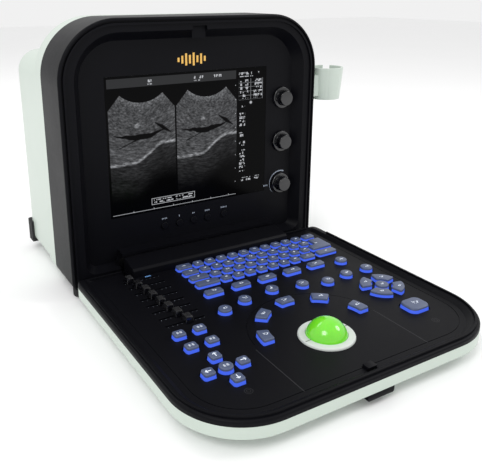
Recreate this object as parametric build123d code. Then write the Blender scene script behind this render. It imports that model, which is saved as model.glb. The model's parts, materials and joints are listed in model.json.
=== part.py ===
from build123d import *
import os
from math import cos, degrees, radians, sin

# A portable ultrasound scanner: an upright screen unit with a keyboard lid that folds up over the screen.
# x runs across to the right, y runs back from the front plane of the screen unit's rim, z runs up from the table.

# Screen unit, mm
half_width = 170.0
unit_low = 10.0
unit_high = 316.0
top_radius = 68.0
bottom_radius = 12.0
bezel_depth = 67.0
flange_end = 97.0
unit_depth = 195.0
rear_half_width = 167.0
rear_high = 272.0
wall = 3.0

# Front panel, mm
panel_y = 16.0
panel_back = 19.0
lip_outer = 3.0
groove_inner = 5.5
lip_inner = 8.0
groove_depth = 3.0
ledge_y = 2.0
screen_x = -5.6
screen_z = 168.5
lens_width = 217.0
lens_height = 166.0
knob_x = 128.0
knob_heights = (209.5, 151.2, 93.0)
button_places = (-45.5, -25.0, -5.0, 15.0, 39.5)
button_z = 64.2

# Hinge and lid, mm
hinge_y = -16.0
hinge_z = 15.2
barrel_radius = 15.0
bar_half_width = 108.0
pocket_half_width = 110.0
pocket_radius = 31.8
shelf_front = 4.6
hinge_slot = (110.0, 115.0)
pin_radius = 3.0
running_gap = 0.05
lid_front = -316.8
lid_rear = -0.8
lid_front_radius = 68.0
lid_rear_radius = 22.0
lid_low = 1.5
lid_split = 25.5
lid_edge_low = 14.5
lid_taper = 38.0
lid_high = 30.9
deck_z = 27.4
key_gap = 0.5

# Keyboard layout, mm
key_pitch = 16.2
row_pitch = 16.6
first_row_y = -38.0
first_key_x = -28.2
key_top_z = 31.6
tall_key_z = 32.3
arc_centre = (5.5, -226.6)
arc_radius = 59.0
ball_centre = (1.5, -240.0)
ball_radius = 20.8
ball_z = 25.1
ring_radius = 27.8
ring_high = 30.0
slider_x = -101.8
slider_first_y = -38.0
slider_pitch = 15.6
slider_starts = (-117.0, -113.0, -110.5, -109.0, -107.0, -105.5, -103.0, -99.5)

os.makedirs("parts", exist_ok=True)


def save(name, *shapes):
    solids = [solid for shape in shapes for solid in shape.solids()]
    body = solids[0] if len(solids) == 1 else Compound(solids)
    export_step(body, f"parts/{name}.step")


def block(x_from, x_to, y_from, y_to, z_from, z_to):
    size = (x_to - x_from, y_to - y_from, z_to - z_from)
    middle = ((x_from + x_to) / 2, (y_from + y_to) / 2, (z_from + z_to) / 2)
    return Pos(*middle) * Box(*size)


def rod_x(radius, x_from, x_to, y, z):
    return Pos((x_from + x_to) / 2, y, z) * Rot(0, 90, 0) * Cylinder(radius, x_to - x_from)


def rod_y(radius, y_from, y_to, x, z):
    return Pos(x, (y_from + y_to) / 2, z) * Rot(90, 0, 0) * Cylinder(radius, y_to - y_from)


def rod_z(radius, z_from, z_to, x, y):
    return Pos(x, y, (z_from + z_to) / 2) * Cylinder(radius, z_to - z_from)


def frame_sheet(half, low, high, high_radius, low_radius):
    # an upright outline, seen from the front, with large upper and small lower corners
    sheet = Pos(0, (low + high) / 2) * Rectangle(2 * half, high - low)
    sheet = fillet(sheet.vertices().group_by(Axis.Y)[-1], high_radius)
    return fillet(sheet.vertices().group_by(Axis.Y)[0], low_radius)


def upright(sheet, y_from, y_to):
    return extrude(Plane.XZ.offset(-y_from) * sheet, amount=y_to - y_from, dir=(0, 1, 0))


def across(profile, x_from, x_to):
    return extrude(Plane.YZ.offset(x_from) * profile, amount=x_to - x_from, dir=(1, 0, 0))


def lying(sheet, z_from, z_to):
    return extrude(Pos(0, 0, z_from) * sheet, amount=z_to - z_from, dir=(0, 0, 1))


def rim_sheet(inset):
    # the rim's lines run straight down past the bottom edge
    return frame_sheet(half_width - inset, -30, unit_high - inset, top_radius - inset, 1)


def lid_sheet(inset):
    rear = lid_rear - inset
    front = lid_front + inset
    sheet = Pos(0, (rear + front) / 2) * Rectangle(2 * (half_width - inset), rear - front)
    sheet = fillet(sheet.vertices().group_by(Axis.Y)[0], lid_front_radius - inset)
    return fillet(sheet.vertices().group_by(Axis.Y)[-1], max(lid_rear_radius - inset, 6))


def rounded_block(x, y, width, depth, radius, z_from, z_to):
    return lying(Pos(x, y) * RectangleRounded(width, depth, radius), z_from, z_to)


def ring_sector(centre, inner, outer, start, end, z_from, z_to):
    # a curved block between two radii and two angles in degrees
    reach = 2 * outer
    first, last = radians(start), radians(end)
    middle = (first + last) / 2
    wedge = Polygon(
        (0, 0),
        (reach * cos(first), reach * sin(first)),
        (reach * cos(middle), reach * sin(middle)),
        (reach * cos(last), reach * sin(last)),
        align=None,
    )
    sheet = (Circle(outer) - Circle(inner)) & wedge
    sheet = fillet(sheet.vertices(), 1.6)
    return lying(Pos(*centre) * sheet, z_from, z_to)


# ---- screen unit ----


def make_front_bezel():
    shell = upright(frame_sheet(half_width, unit_low, unit_high, top_radius, bottom_radius), 0, bezel_depth)
    shell = fillet(shell.faces().sort_by(Axis.Y)[0].edges(), 2.6)
    inside = frame_sheet(half_width - wall, unit_low + wall, unit_high - wall, top_radius - wall, 9)
    shell -= upright(inside, panel_back, bezel_depth)
    mouth = Plane.XZ * frame_sheet(153.5, 26, 302, 54, 14)
    floor = Plane.XZ.offset(-panel_y) * frame_sheet(143, 31, 291, 44, 8)
    shell -= loft([mouth, floor])
    shell -= upright(rim_sheet(lip_inner), 0, ledge_y)
    shell -= upright(rim_sheet(lip_outer), 0, groove_depth) - upright(rim_sheet(groove_inner), 0, groove_depth)
    well = rod_x(pocket_radius + wall, -pocket_half_width - wall, pocket_half_width + wall, hinge_y, hinge_z)
    shell += well & block(-half_width, half_width, 8, 40, unit_low, 70)
    ledge = Polygon((shelf_front, 30), (shelf_front, 44.2), (panel_y + 1, 46.4), (panel_y + 1, 30), align=None)
    shell += across(ledge, -bar_half_width, bar_half_width)
    shell -= rod_x(pocket_radius, -pocket_half_width, pocket_half_width, hinge_y, hinge_z)
    window = Pos(screen_x, screen_z) * Rectangle(lens_width + 0.4, lens_height + 0.4)
    shell -= upright(window, panel_y - 1, panel_back + 1)
    for height in knob_heights:
        shell -= rod_y(4.0, panel_y - 1, panel_back + 1, knob_x, height)
    for place in button_places:
        shell -= rod_y(5.0, panel_y - 1, panel_back + 1, place, button_z)
    shell -= block(-9.5, 9.5, -1, 7.5, 290, 305)
    return shell


def make_rear_cover():
    flange = upright(frame_sheet(half_width, unit_low, unit_high, top_radius, bottom_radius), bezel_depth, flange_end)
    flange = fillet(flange.faces().sort_by(Axis.Y)[-1].edges(), 6)
    body = upright(frame_sheet(rear_half_width, unit_low, rear_high, 28, bottom_radius), flange_end - 8, unit_depth)
    body = fillet(body.faces().sort_by(Axis.Y)[-1].edges(), 11.5)
    front_room = frame_sheet(half_width - wall, unit_low + wall, unit_high - wall, top_radius - wall, 9)
    rear_room = frame_sheet(rear_half_width - wall, unit_low + wall, rear_high - wall, 25, 9)
    hollow = upright(rear_room, bezel_depth, unit_depth - wall)
    hollow = fillet(hollow.faces().sort_by(Axis.Y)[-1].edges(), 8.5)
    shell = flange + body - hollow - upright(front_room, bezel_depth, flange_end - wall)
    shell -= rod_y(38.0, 185, 200, 95, 195)
    shell -= block(98, 126, 185, 200, 50, 70)
    shell -= block(68.3, 81.7, 185, 200, 50.3, 69.7)
    shell -= block(-40, 50, 185, 200, 46, 74)
    for height in (205, 150):
        shell -= block(-127, -63, 185, 200, height - 17, height + 17)
    for column in range(12):
        left = -36 + 8 * column
        shell -= block(left, left + 4, 185, 200, 100, 135)
    for row in range(7):
        low = 60 + 12 * row
        shell -= block(160, 172, 125, 165, low, low + 4)
    return shell


def make_inner_frame():
    plate = block(-160, 160, 40, 41.5, 20, 264)
    plate -= block(-130, 60, 39, 43, 90, 240)
    return plate + block(-150, 150, 41.5, 180, 18.2, 19.7)


def make_main_board():
    board = block(-150, 60, 48, 49.6, 40, 250)
    for column in range(4):
        for row in range(5):
            x = -130 + 45 * column
            z = 55 + 38 * row
            board += block(x, x + 22, 49.6, 53, z, z + 22)
    return board


def make_fan_housing():
    housing = block(55, 135, 165, 191.5, 155, 235) - rod_y(37.5, 164, 192, 95, 195)
    housing += block(55, 135, 165, 168, 192, 198) & rod_y(39, 165, 168, 95, 195)
    housing += block(92, 98, 165, 168, 155, 235) & rod_y(39, 165, 168, 95, 195)
    return housing + rod_y(14, 165, 169, 95, 195)


def make_fan_rotor():
    rotor = rod_y(15, 169.4, 186, 95, 195)
    blade = Pos(95, 178, 195) * Rot(0, 0, 28) * Pos(0, 0, 25) * Box(2.2, 14, 20.6)
    for turn in range(7):
        rotor += Pos(95, 0, 195) * Rot(0, turn * 360 / 7, 0) * Pos(-95, 0, -195) * blade
    return rotor


def make_fan_guard():
    guard = rod_y(41.5, 195, 197, 95, 195) - rod_y(39, 194, 198, 95, 195)
    for radius in (10, 19, 28):
        guard += rod_y(radius + 1, 195.5, 197, 95, 195) - rod_y(radius - 1, 195, 198, 95, 195)
    for turn in range(4):
        guard += Pos(95, 196.4, 195) * Rot(0, 45 + 45 * turn, 0) * Box(81, 1.2, 2)
    return guard


def make_mains_inlet():
    inlet = block(98.2, 125.8, 175, 195, 50.2, 69.8) + block(94, 130, 195, 197, 46, 74)
    inlet -= block(101, 123, 181, 198, 53, 67)
    for x, z in ((107, 58), (117, 58), (112, 62)):
        inlet += block(x - 1, x + 1, 180, 192, z - 2, z + 2)
    return inlet


def make_power_switch():
    profile = Polygon((188, 51), (188, 69), (197, 69), (195.6, 60), (199, 51), align=None)
    return across(profile, 69, 81)


def make_probe_sockets():
    sockets = []
    for height in (205, 150):
        body = block(-126.8, -63.2, 178, 199, height - 16.8, height + 16.8)
        body -= block(-122, -80, 190, 200, height - 12, height + 12)
        body += block(-116, -86, 189.9, 194, height - 5, height + 5)
        body -= rod_y(3.05, 186, 200, -71, height)
        sockets.append(body)
    return sockets


def make_probe_lock(height):
    lever = rod_y(3.0, 187, 199.4, -71, height) + rod_y(6.5, 199.4, 204, -71, height)
    return lever + block(-73, -69, 199.4, 209, height - 14, height + 6.5)


def make_signal_ports():
    plate = block(-39.8, 49.8, 193, 195.5, 46.2, 73.8)
    for x, width, height in ((-26, 18, 9), (-2, 14, 6), (16, 14, 6)):
        plate += block(x - width / 2, x + width / 2, 182, 199, 60 - height / 2, 60 + height / 2)
        plate -= block(x - width / 2 + 1.4, x + width / 2 - 1.4, 190, 200, 61.4 - height / 2, 58.6 + height / 2)
    return plate + rod_y(5, 182, 201, 37, 60) - rod_y(1.6, 192, 202, 37, 60)


def make_handle():
    path = []
    for side in (-1, 1):
        path.append(block(*sorted((side * 58, side * 66)), 112, 172, 276, 286))
        path.append(rod_x(9, *sorted((side * 58, side * 66)), 118, 281))
    grip = rod_x(9, -66, 66, 172, 281)
    handle = grip + path[0] + path[1] + path[2] + path[3]
    return handle - rod_x(4.05, -70, 70, 118, 281)


def make_handle_pivots():
    pivots = []
    for side in (-1, 1):
        ear = block(*sorted((side * 67, side * 76)), 108, 128, 272, 281)
        ear += rod_x(9, *sorted((side * 67, side * 76)), 118, 281)
        pin = rod_x(4.0, *sorted((side * 58.5, side * 67)), 118, 281)
        pivots.append(ear + pin)
    return pivots


def make_feet():
    places = ((-157, 14), (157, 14), (-140, 168), (140, 168))
    feet = []
    for x, y in places:
        foot = rod_z(9, 0, unit_low, x, y)
        feet.append(fillet(foot.edges().group_by(Axis.Z)[0], 2.5))
    return feet


def make_rear_feet():
    rear = frame_sheet(rear_half_width, unit_low, rear_high, 28, bottom_radius)
    body = fillet(upright(rear, 100, unit_depth).faces().sort_by(Axis.Y)[-1].edges(), 11.5)
    feet = []
    for side in (-1, 1):
        foot = block(*sorted((side * 150, side * 170.2)), 178, 199, unit_low + 1.5, 40)
        foot = fillet(foot.edges().filter_by(Axis.Z).sort_by(Axis.Y)[-2:], 4)
        feet.append((foot - body).solids().sort_by(SortBy.VOLUME)[-1])
        feet.append(rod_y(11, unit_depth, 199, side * 138, 246))
    return feet


def make_hinge_brackets():
    profile = Circle(7.5) + Polygon(
        (0, -7.5), (22, -10.6), (54, -10.6), (54, -8.2), (19, -8.2), (15, -5), (15, 5), (0, 7.5), align=None
    )
    profile = Pos(hinge_y, hinge_z) * profile
    brackets = []
    for side in (-1, 1):
        web = across(profile, *sorted((side * (hinge_slot[0] + 0.5), side * (hinge_slot[1] - 0.5))))
        foot = block(*sorted((side * 110.5, side * 130)), 3, 38, unit_low - 3, unit_low)
        brackets.append(web + foot - rod_x(pin_radius, -140, 140, hinge_y, hinge_z))
    return brackets


def make_hinge_pins():
    return [rod_x(pin_radius, *sorted((side * 98.5, side * 126.5)), hinge_y, hinge_z) for side in (-1, 1)]


def make_encoders():
    encoders = []
    for height in knob_heights:
        body = block(knob_x - 7, knob_x + 7, panel_back, 30, height - 7, height + 7)
        encoders.append(body - rod_y(pin_radius + running_gap, 18, 27, knob_x, height))
    return encoders


def make_knob(height):
    skirt = rod_y(14, 12.4, 15.6, knob_x, height)
    skirt = fillet(skirt.edges().group_by(Axis.Y)[0], 1.2)
    cap = Pos(knob_x, 8.2, height) * Rot(90, 0, 0) * Cone(10.6, 9.4, 9.0)
    cap = fillet(cap.edges().group_by(Axis.Y)[0], 1.0)
    for turn in range(18):
        notch = Pos(knob_x, 7.4, height) * Rot(0, turn * 20, 0) * Pos(10.9, 0, 0) * Rot(90, 0, 0) * Cylinder(0.8, 8)
        cap -= notch
    bore = rod_y(pin_radius, 6, 27, knob_x, height)
    return [skirt + cap - bore, rod_y(pin_radius, 6, 26.5, knob_x, height)]


def make_bezel_button(place):
    cap = rod_y(4.6, 14.3, 22, place, button_z)
    return fillet(cap.edges().group_by(Axis.Y)[0], 0.8)


def make_probe_holder():
    centre_x, centre_y = 200.0, 15.0
    outer = Pos(centre_x, centre_y, 224) * Cone(19.5, 23, 42)
    inner = Pos(centre_x, centre_y, 226) * Cone(17.0, 20.5, 42)
    slot = Pos(centre_x, centre_y, 224) * Rot(0, 0, 50) * Pos(20, 0, 0) * Box(20, 9, 60)
    cup = outer - inner - slot
    tab = block(171.2, 181.5, centre_y - 9, centre_y + 9, 208, 236)
    return cup + (tab - outer)


def make_holder_bracket():
    bracket = block(half_width, 171.2, 4, 26, 202, 240)
    return fillet(bracket.edges().filter_by(Axis.X), 3)


def make_cover_screws():
    screws = []
    for x in (-148, 0, 148):
        for z in (30, 258):
            if x or z > 200:
                place = 0.86 * x
                screws.append(rod_y(3.4, unit_depth, unit_depth + 1.6, place, z))
    return screws


# ---- keyboard lid ----


def lid_swing():
    # the rear end of the lid stays inside a barrel about the hinge
    barrel = rod_x(barrel_radius + 0.4, -half_width, half_width, hinge_y, hinge_z)
    return barrel + block(-half_width, half_width, lid_front, hinge_y, 0, 60)


def slot_cuts():
    return [
        block(*sorted((side * hinge_slot[0], side * hinge_slot[1])), hinge_y - 9.5, 10, -1, 60) for side in (-1, 1)
    ]


def barrel_flat():
    return block(-155, 155, -31, lid_rear - 13, deck_z, 40)


def barrel_core():
    core = rod_x(barrel_radius, -155, 155, hinge_y, hinge_z) - barrel_flat()
    core += block(-155, 155, -31, hinge_y, lid_low, deck_z)
    return core - rod_x(11, -96, 96, hinge_y, hinge_z)


def tapered_lid(inset, floor_z):
    # upright side walls above, drawn in below towards a smaller bottom
    wide = Pos(0, 0, lid_edge_low) * lid_sheet(inset)
    narrow = Pos(0, 0, floor_z) * lid_sheet(lid_taper + inset / 2)
    return lying(lid_sheet(inset), lid_edge_low, lid_split) + loft([narrow, wide])


def make_lid_shell():
    shell = tapered_lid(0, lid_low)
    room = tapered_lid(2.6, lid_low + 2.4) & block(-half_width, half_width, lid_front, -31.3, 0, 60)
    shell = (shell - room) & lid_swing()
    shell -= block(-155.3, 155.3, -31.2, 10, -1, 60)
    shell -= block(-17.5, 17.5, lid_front - 1, lid_front + 9, 0, 14.2)
    shell -= block(-5.6, 5.6, lid_front, lid_front + 23, 5.5, 14.2)
    return shell


def letter_places():
    places = []
    top_row = [(first_key_x + key_pitch * step, 13.2) for step in range(10)]
    rows = (
        [(-47.2, 20.2)] + top_row + [(136.6, 18.2)],
        [(-47.2, 20.2)] + top_row,
        [(-45.0, 24.7)] + [(first_key_x + 5.0 + key_pitch * step, 13.2) for step in range(9)],
        [(-43.0, 30.2)] + [(first_key_x + 9.5 + key_pitch * step, 13.2) for step in range(7)]
        + [(97.6, 19.7), (126.5, 29.2)],
    )
    for number, row in enumerate(rows):
        y = first_row_y - row_pitch * number
        places += [(x, y, width, 12.4) for x, width in row]
    return places


def enter_sheet(grow):
    tall = Pos(137.0, -62.9) * Rectangle(18.2 + 2 * grow, 29 + 2 * grow)
    wide = Pos(130.6, -71.2) * Rectangle(31 + 2 * grow, 12.4 + 2 * grow)
    return fillet((tall + wide).vertices(), 1.8)


def function_places():
    return [(-49.0 + 35.0 * step, -112.0, 23.0, 12.2) for step in range(5)]


def square_places():
    return [(x, y, 13.6, 12.2) for x in (-120.6, -98.6) for y in (-170.6, -195.3)]


round_places = (
    (-58.3, -151.4),
    (-29.1, -143.3),
    (9.3, -138.4),
    (45.7, -145.2),
    (74.8, -154.0),
    (105.0, -150.5),
    (136.0, -150.2),
    (124.5, -118.7),
)
arc_angles = (11, 52, 90, 128, 169)
left_pad = (-109.7, -239.0)
right_pad = (119.3, -193.0)


def rounded_keys(places, grow, z_from, z_to):
    return [rounded_block(x, y, w + 2 * grow, d + 2 * grow, 3.0, z_from, z_to) for x, y, w, d in places]


def letter_solids(grow, z_from, z_to):
    return rounded_keys(letter_places(), grow, z_from, z_to) + [lying(enter_sheet(grow), z_from, z_to)]


def round_solids(grow, z_from, z_to):
    return [rod_z(7.9 + grow, z_from, z_to, x, y) for x, y in round_places]


def arc_solids(grow, z_from, z_to):
    spread = 9.4 + degrees(grow / arc_radius)
    inner, outer = arc_radius - 6.6 - grow, arc_radius + 6.6 + grow
    return [ring_sector(arc_centre, inner, outer, a - spread, a + spread, z_from, z_to) for a in arc_angles]


def left_pad_solids(grow, z_from, z_to):
    solids = rounded_keys(square_places(), grow, z_from, z_to)
    middle = lying(Pos(*left_pad) * Circle(9.4 - grow), z_from, z_to)
    for turn in range(4):
        x = left_pad[0] + 17.6 * cos(radians(90 * turn))
        y = left_pad[1] + 19.2 * sin(radians(90 * turn))
        solids.append(rounded_block(x, y, 12.6 + 2 * grow, 12.6 + 2 * grow, 3.0, z_from, z_to) - middle)
    return solids + [rod_z(7.4 + grow, z_from, z_to, *left_pad)]


def right_pad_solids(grow, z_from, z_to):
    solids = []
    for turn in range(4):
        middle = 45 + 90 * turn
        spread = 33 + degrees(grow / 18)
        start, end = middle - spread, middle + spread
        solids.append(ring_sector(right_pad, 11.5 - grow, 24.5 + grow, start, end, z_from, z_to))
    return solids + [rod_z(8.0 + grow, z_from, z_to, *right_pad)]


def freeze_solids(grow, z_from, z_to):
    return [rounded_block(116.5, -243.0, 27 + 2 * grow, 24 + 2 * grow, 7.5, z_from, z_to)]


def all_key_holes():
    makers = (letter_solids, round_solids, arc_solids, left_pad_solids, right_pad_solids, freeze_solids)
    holes = [hole for maker in makers for hole in maker(key_gap, lid_split - 1, deck_z + 1)]
    return holes + rounded_keys(function_places(), key_gap, lid_split - 1, deck_z + 1)


def slider_y(number):
    return slider_first_y - slider_pitch * number


def make_keyboard_deck():
    deck = lying(lid_sheet(0), lid_split, lid_high)
    deck = fillet(deck.faces().sort_by(Axis.Z)[-1].edges(), 2.6)
    mouth = Pos(0, 0, lid_high) * lid_sheet(8)
    floor = Pos(0, 0, deck_z) * lid_sheet(13)
    deck -= loft([floor, mouth])
    tongue = lying(lid_sheet(3.4), lid_high, lid_high + 2) - lying(lid_sheet(5.2), lid_high, lid_high + 2)
    deck += tongue & block(-half_width, half_width, lid_front, -42, 30, 34)
    seam = lying(lid_sheet(19), deck_z - 0.5, deck_z + 1) - lying(lid_sheet(19.7), deck_z - 0.5, deck_z + 1)
    deck -= seam & block(-half_width, half_width, lid_front, -40, 20, 34)
    arc = lying(Pos(*arc_centre) * (Circle(72.6) - Circle(72.0)), deck_z - 0.5, deck_z + 1)
    deck -= arc & block(-90, 90, arc_centre[1] + 8, -100, 20, 34)
    deck &= lid_swing()
    deck += barrel_core()
    deck -= rod_x(pin_radius + running_gap, -127.5, 127.5, hinge_y, hinge_z)
    for cut in slot_cuts():
        deck -= cut
    for hole in all_key_holes():
        deck -= hole
    for number in range(8):
        y = slider_y(number)
        deck -= block(slider_x - 22, slider_x + 22, y - 1.1, y + 1.1, lid_split - 1, deck_z + 1)
    deck -= rod_z(25.5, lid_split - 1, deck_z + 1, *ball_centre)
    deck -= block(-5.6, 5.6, -304.6, -295.4, lid_split - 1, deck_z + 4)
    return deck


def make_hinge_cover():
    rear = lid_rear - 0.6
    profile = Polygon((rear, 20), (rear, 42.2), (-28.5, 37.6), (-31, 35.2), (-31.5, 20), align=None)
    cover = across(profile, -bar_half_width, bar_half_width)
    cover = fillet(cover.edges().filter_by(Axis.X).sort_by(Axis.Z)[-3:], 1.4)
    return (cover - make_keyboard_deck_core()).solids().sort_by(SortBy.VOLUME)[-1]


def make_keyboard_deck_core():
    core = lying(lid_sheet(0), lid_split, lid_high)
    core = fillet(core.faces().sort_by(Axis.Z)[-1].edges(), 2.6)
    core -= loft([Pos(0, 0, deck_z) * lid_sheet(13), Pos(0, 0, lid_high) * lid_sheet(8)])
    barrel = rod_x(barrel_radius, -155, 155, hinge_y, hinge_z) - barrel_flat()
    return (core & lid_swing()) + barrel + block(-155, 155, -31, hinge_y, lid_low, deck_z)


def make_keyboard_board():
    board = block(-140, 150, -278, -44, 19.6, 21.2)
    board -= rod_z(27, 19, 23, *ball_centre)
    return board


def make_trackball_housing():
    cup = rod_z(25, lid_low + 2.4, 26, *ball_centre)
    return cup - Pos(ball_centre[0], ball_centre[1], ball_z) * Sphere(ball_radius + 0.3)


def make_trackball_ring():
    ring = rod_z(ring_radius, deck_z + 0.1, ring_high, *ball_centre)
    ring = fillet(ring.edges().group_by(Axis.Z)[-1], 2.0)
    ring += rod_z(25.1, 26.1, deck_z + 0.1, *ball_centre)
    return ring - Pos(ball_centre[0], ball_centre[1], ball_z) * Sphere(ball_radius + 0.35)


def make_latch_paddle():
    paddle = block(-15.5, 15.5, lid_front + 0.8, lid_front + 5.8, 7.4, 13.7)
    paddle = fillet(paddle.edges().filter_by(Axis.Y).group_by(Axis.Z)[0], 2.2)
    stem = block(-5, 5, lid_front + 5.8, -301, 9.6, 13)
    hook = block(-5, 5, -302, -296, 9.6, 30.5) + block(-5, 5, -304, -302, 28, 30.5)
    return paddle + stem + hook


def make_lid_feet():
    feet = []
    for x in (-120, 120):
        for y in (-262, -70):
            feet.append(rod_z(8, 0, lid_low, x, y))
    return feet


def make_slider(number, start):
    y = slider_y(number)
    cap = Pos(start, y, deck_z + 0.2) * extrude(RectangleRounded(9.6, 12.4, 1.2), amount=7.2, taper=12)
    for step in range(5):
        cap -= Pos(start, y - 4.4 + 2.2 * step, deck_z + 7.6) * Box(12, 0.9, 1.2)
    return cap + block(start - 2, start + 2, y - 0.8, y + 0.8, 23, deck_z + 1)


save("front_bezel", make_front_bezel())
save("rear_cover", make_rear_cover())
save("screen_lens", block(screen_x - lens_width / 2, screen_x + lens_width / 2, 16.3, panel_back,
                          screen_z - lens_height / 2, screen_z + lens_height / 2))
save("lcd_panel", block(screen_x - 118, screen_x + 118, panel_back, 28, screen_z - 88, screen_z + 88)
     - block(knob_x - 8, knob_x + 8, 18, 31, 80, 220))
save("chassis", make_inner_frame())
save("main_board", make_main_board())
save("power_supply", block(75, 150, 60, 130, 28, 120))
save("fan_housing", make_fan_housing())
save("fan_rotor", make_fan_rotor())
save("fan_guard", make_fan_guard())
save("mains_inlet", make_mains_inlet())
save("power_switch", make_power_switch())
save("probe_sockets", *make_probe_sockets())
save("probe_lock_upper", make_probe_lock(205))
save("probe_lock_lower", make_probe_lock(150))
save("signal_ports", make_signal_ports())
save("ground_pin", rod_y(3.0, unit_depth, 210, 140, 60))
save("carrying_handle", make_handle())
save("handle_pivots", *make_handle_pivots())
save("feet", *make_feet())
save("rear_feet", *make_rear_feet())
save("hinge_brackets", *make_hinge_brackets())
save("hinge_pins", *make_hinge_pins())
save("latch_catch", block(-9, 9, 5.5, 7.5, 291, 304))
save("encoders", *make_encoders())
for label, height in zip(("upper", "middle", "lower"), knob_heights):
    save(f"knob_{label}", *make_knob(height))
for number, place in enumerate(button_places, 1):
    save(f"bezel_button_{number}", make_bezel_button(place))
save("probe_holder", make_probe_holder())
save("holder_bracket", make_holder_bracket())
save("cover_screws", *make_cover_screws())

save("lid_shell", make_lid_shell())
save("keyboard_deck", make_keyboard_deck())
save("hinge_cover", make_hinge_cover())
save("keyboard_board", make_keyboard_board())
save("trackball_housing", make_trackball_housing())
save("trackball_ring", make_trackball_ring())
save("trackball", Pos(ball_centre[0], ball_centre[1], ball_z) * Sphere(ball_radius))
save("latch_paddle", make_latch_paddle())
save("lid_feet", *make_lid_feet())
for number, start in enumerate(slider_starts):
    save(f"gain_slider_{number + 1}", make_slider(number, start))
save("letter_keys", *letter_solids(0, 23, key_top_z))
save("function_keys", *rounded_keys(function_places(), 0, 23, tall_key_z))
save("round_keys", *round_solids(0, 23, tall_key_z))
save("arc_keys", *arc_solids(0, 23, tall_key_z))
save("pad_keys_left", *left_pad_solids(0, 23, tall_key_z))
save("pad_keys_right", *right_pad_solids(0, 23, tall_key_z))
save("freeze_key", *freeze_solids(0, 23, tall_key_z))
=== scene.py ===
import json
import math
import bmesh
import bpy
from mathutils import Euler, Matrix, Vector

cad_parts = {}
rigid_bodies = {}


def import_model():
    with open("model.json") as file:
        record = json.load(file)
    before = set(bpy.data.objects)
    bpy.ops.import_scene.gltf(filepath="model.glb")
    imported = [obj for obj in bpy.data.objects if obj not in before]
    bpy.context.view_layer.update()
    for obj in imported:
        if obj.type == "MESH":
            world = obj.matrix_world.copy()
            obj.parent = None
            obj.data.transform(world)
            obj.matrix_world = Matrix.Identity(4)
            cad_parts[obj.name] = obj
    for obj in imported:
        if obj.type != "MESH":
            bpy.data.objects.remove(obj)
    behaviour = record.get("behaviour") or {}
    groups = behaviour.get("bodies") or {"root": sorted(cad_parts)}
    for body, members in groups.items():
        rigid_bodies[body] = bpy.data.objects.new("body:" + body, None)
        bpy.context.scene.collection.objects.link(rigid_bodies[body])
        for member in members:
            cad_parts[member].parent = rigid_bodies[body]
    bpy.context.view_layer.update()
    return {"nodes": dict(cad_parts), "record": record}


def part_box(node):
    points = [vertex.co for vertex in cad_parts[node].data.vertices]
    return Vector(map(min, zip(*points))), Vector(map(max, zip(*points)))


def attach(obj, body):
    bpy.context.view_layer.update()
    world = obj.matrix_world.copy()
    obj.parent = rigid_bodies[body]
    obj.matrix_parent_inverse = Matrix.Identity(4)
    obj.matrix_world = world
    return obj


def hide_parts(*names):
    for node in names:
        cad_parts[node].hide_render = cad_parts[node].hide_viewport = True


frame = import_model()
nodes = frame["nodes"]
bodyNodes = frame["record"]["behaviour"]["bodies"]
nodeBody = {name: body for body, names in bodyNodes.items() for name in names}
print("frame loaded:", len(nodes), "nodes")

mm = 0.001


class Num:
    # a value socket that can be used in ordinary sums
    def __init__(self, shader, socket):
        self.shader = shader
        self.socket = socket

    def __add__(self, other):
        return self.shader.maths("ADD", self, other)

    def __radd__(self, other):
        return self.shader.maths("ADD", other, self)

    def __sub__(self, other):
        return self.shader.maths("SUBTRACT", self, other)

    def __rsub__(self, other):
        return self.shader.maths("SUBTRACT", other, self)

    def __mul__(self, other):
        return self.shader.maths("MULTIPLY", self, other)

    def __rmul__(self, other):
        return self.shader.maths("MULTIPLY", other, self)

    def __truediv__(self, other):
        return self.shader.maths("DIVIDE", self, other)

    def __pow__(self, other):
        return self.shader.maths("POWER", self, other)

    def __gt__(self, other):
        return self.shader.maths("GREATER_THAN", self, other)

    def __lt__(self, other):
        return self.shader.maths("LESS_THAN", self, other)

    def __abs__(self):
        return self.shader.maths("ABSOLUTE", self)


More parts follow.
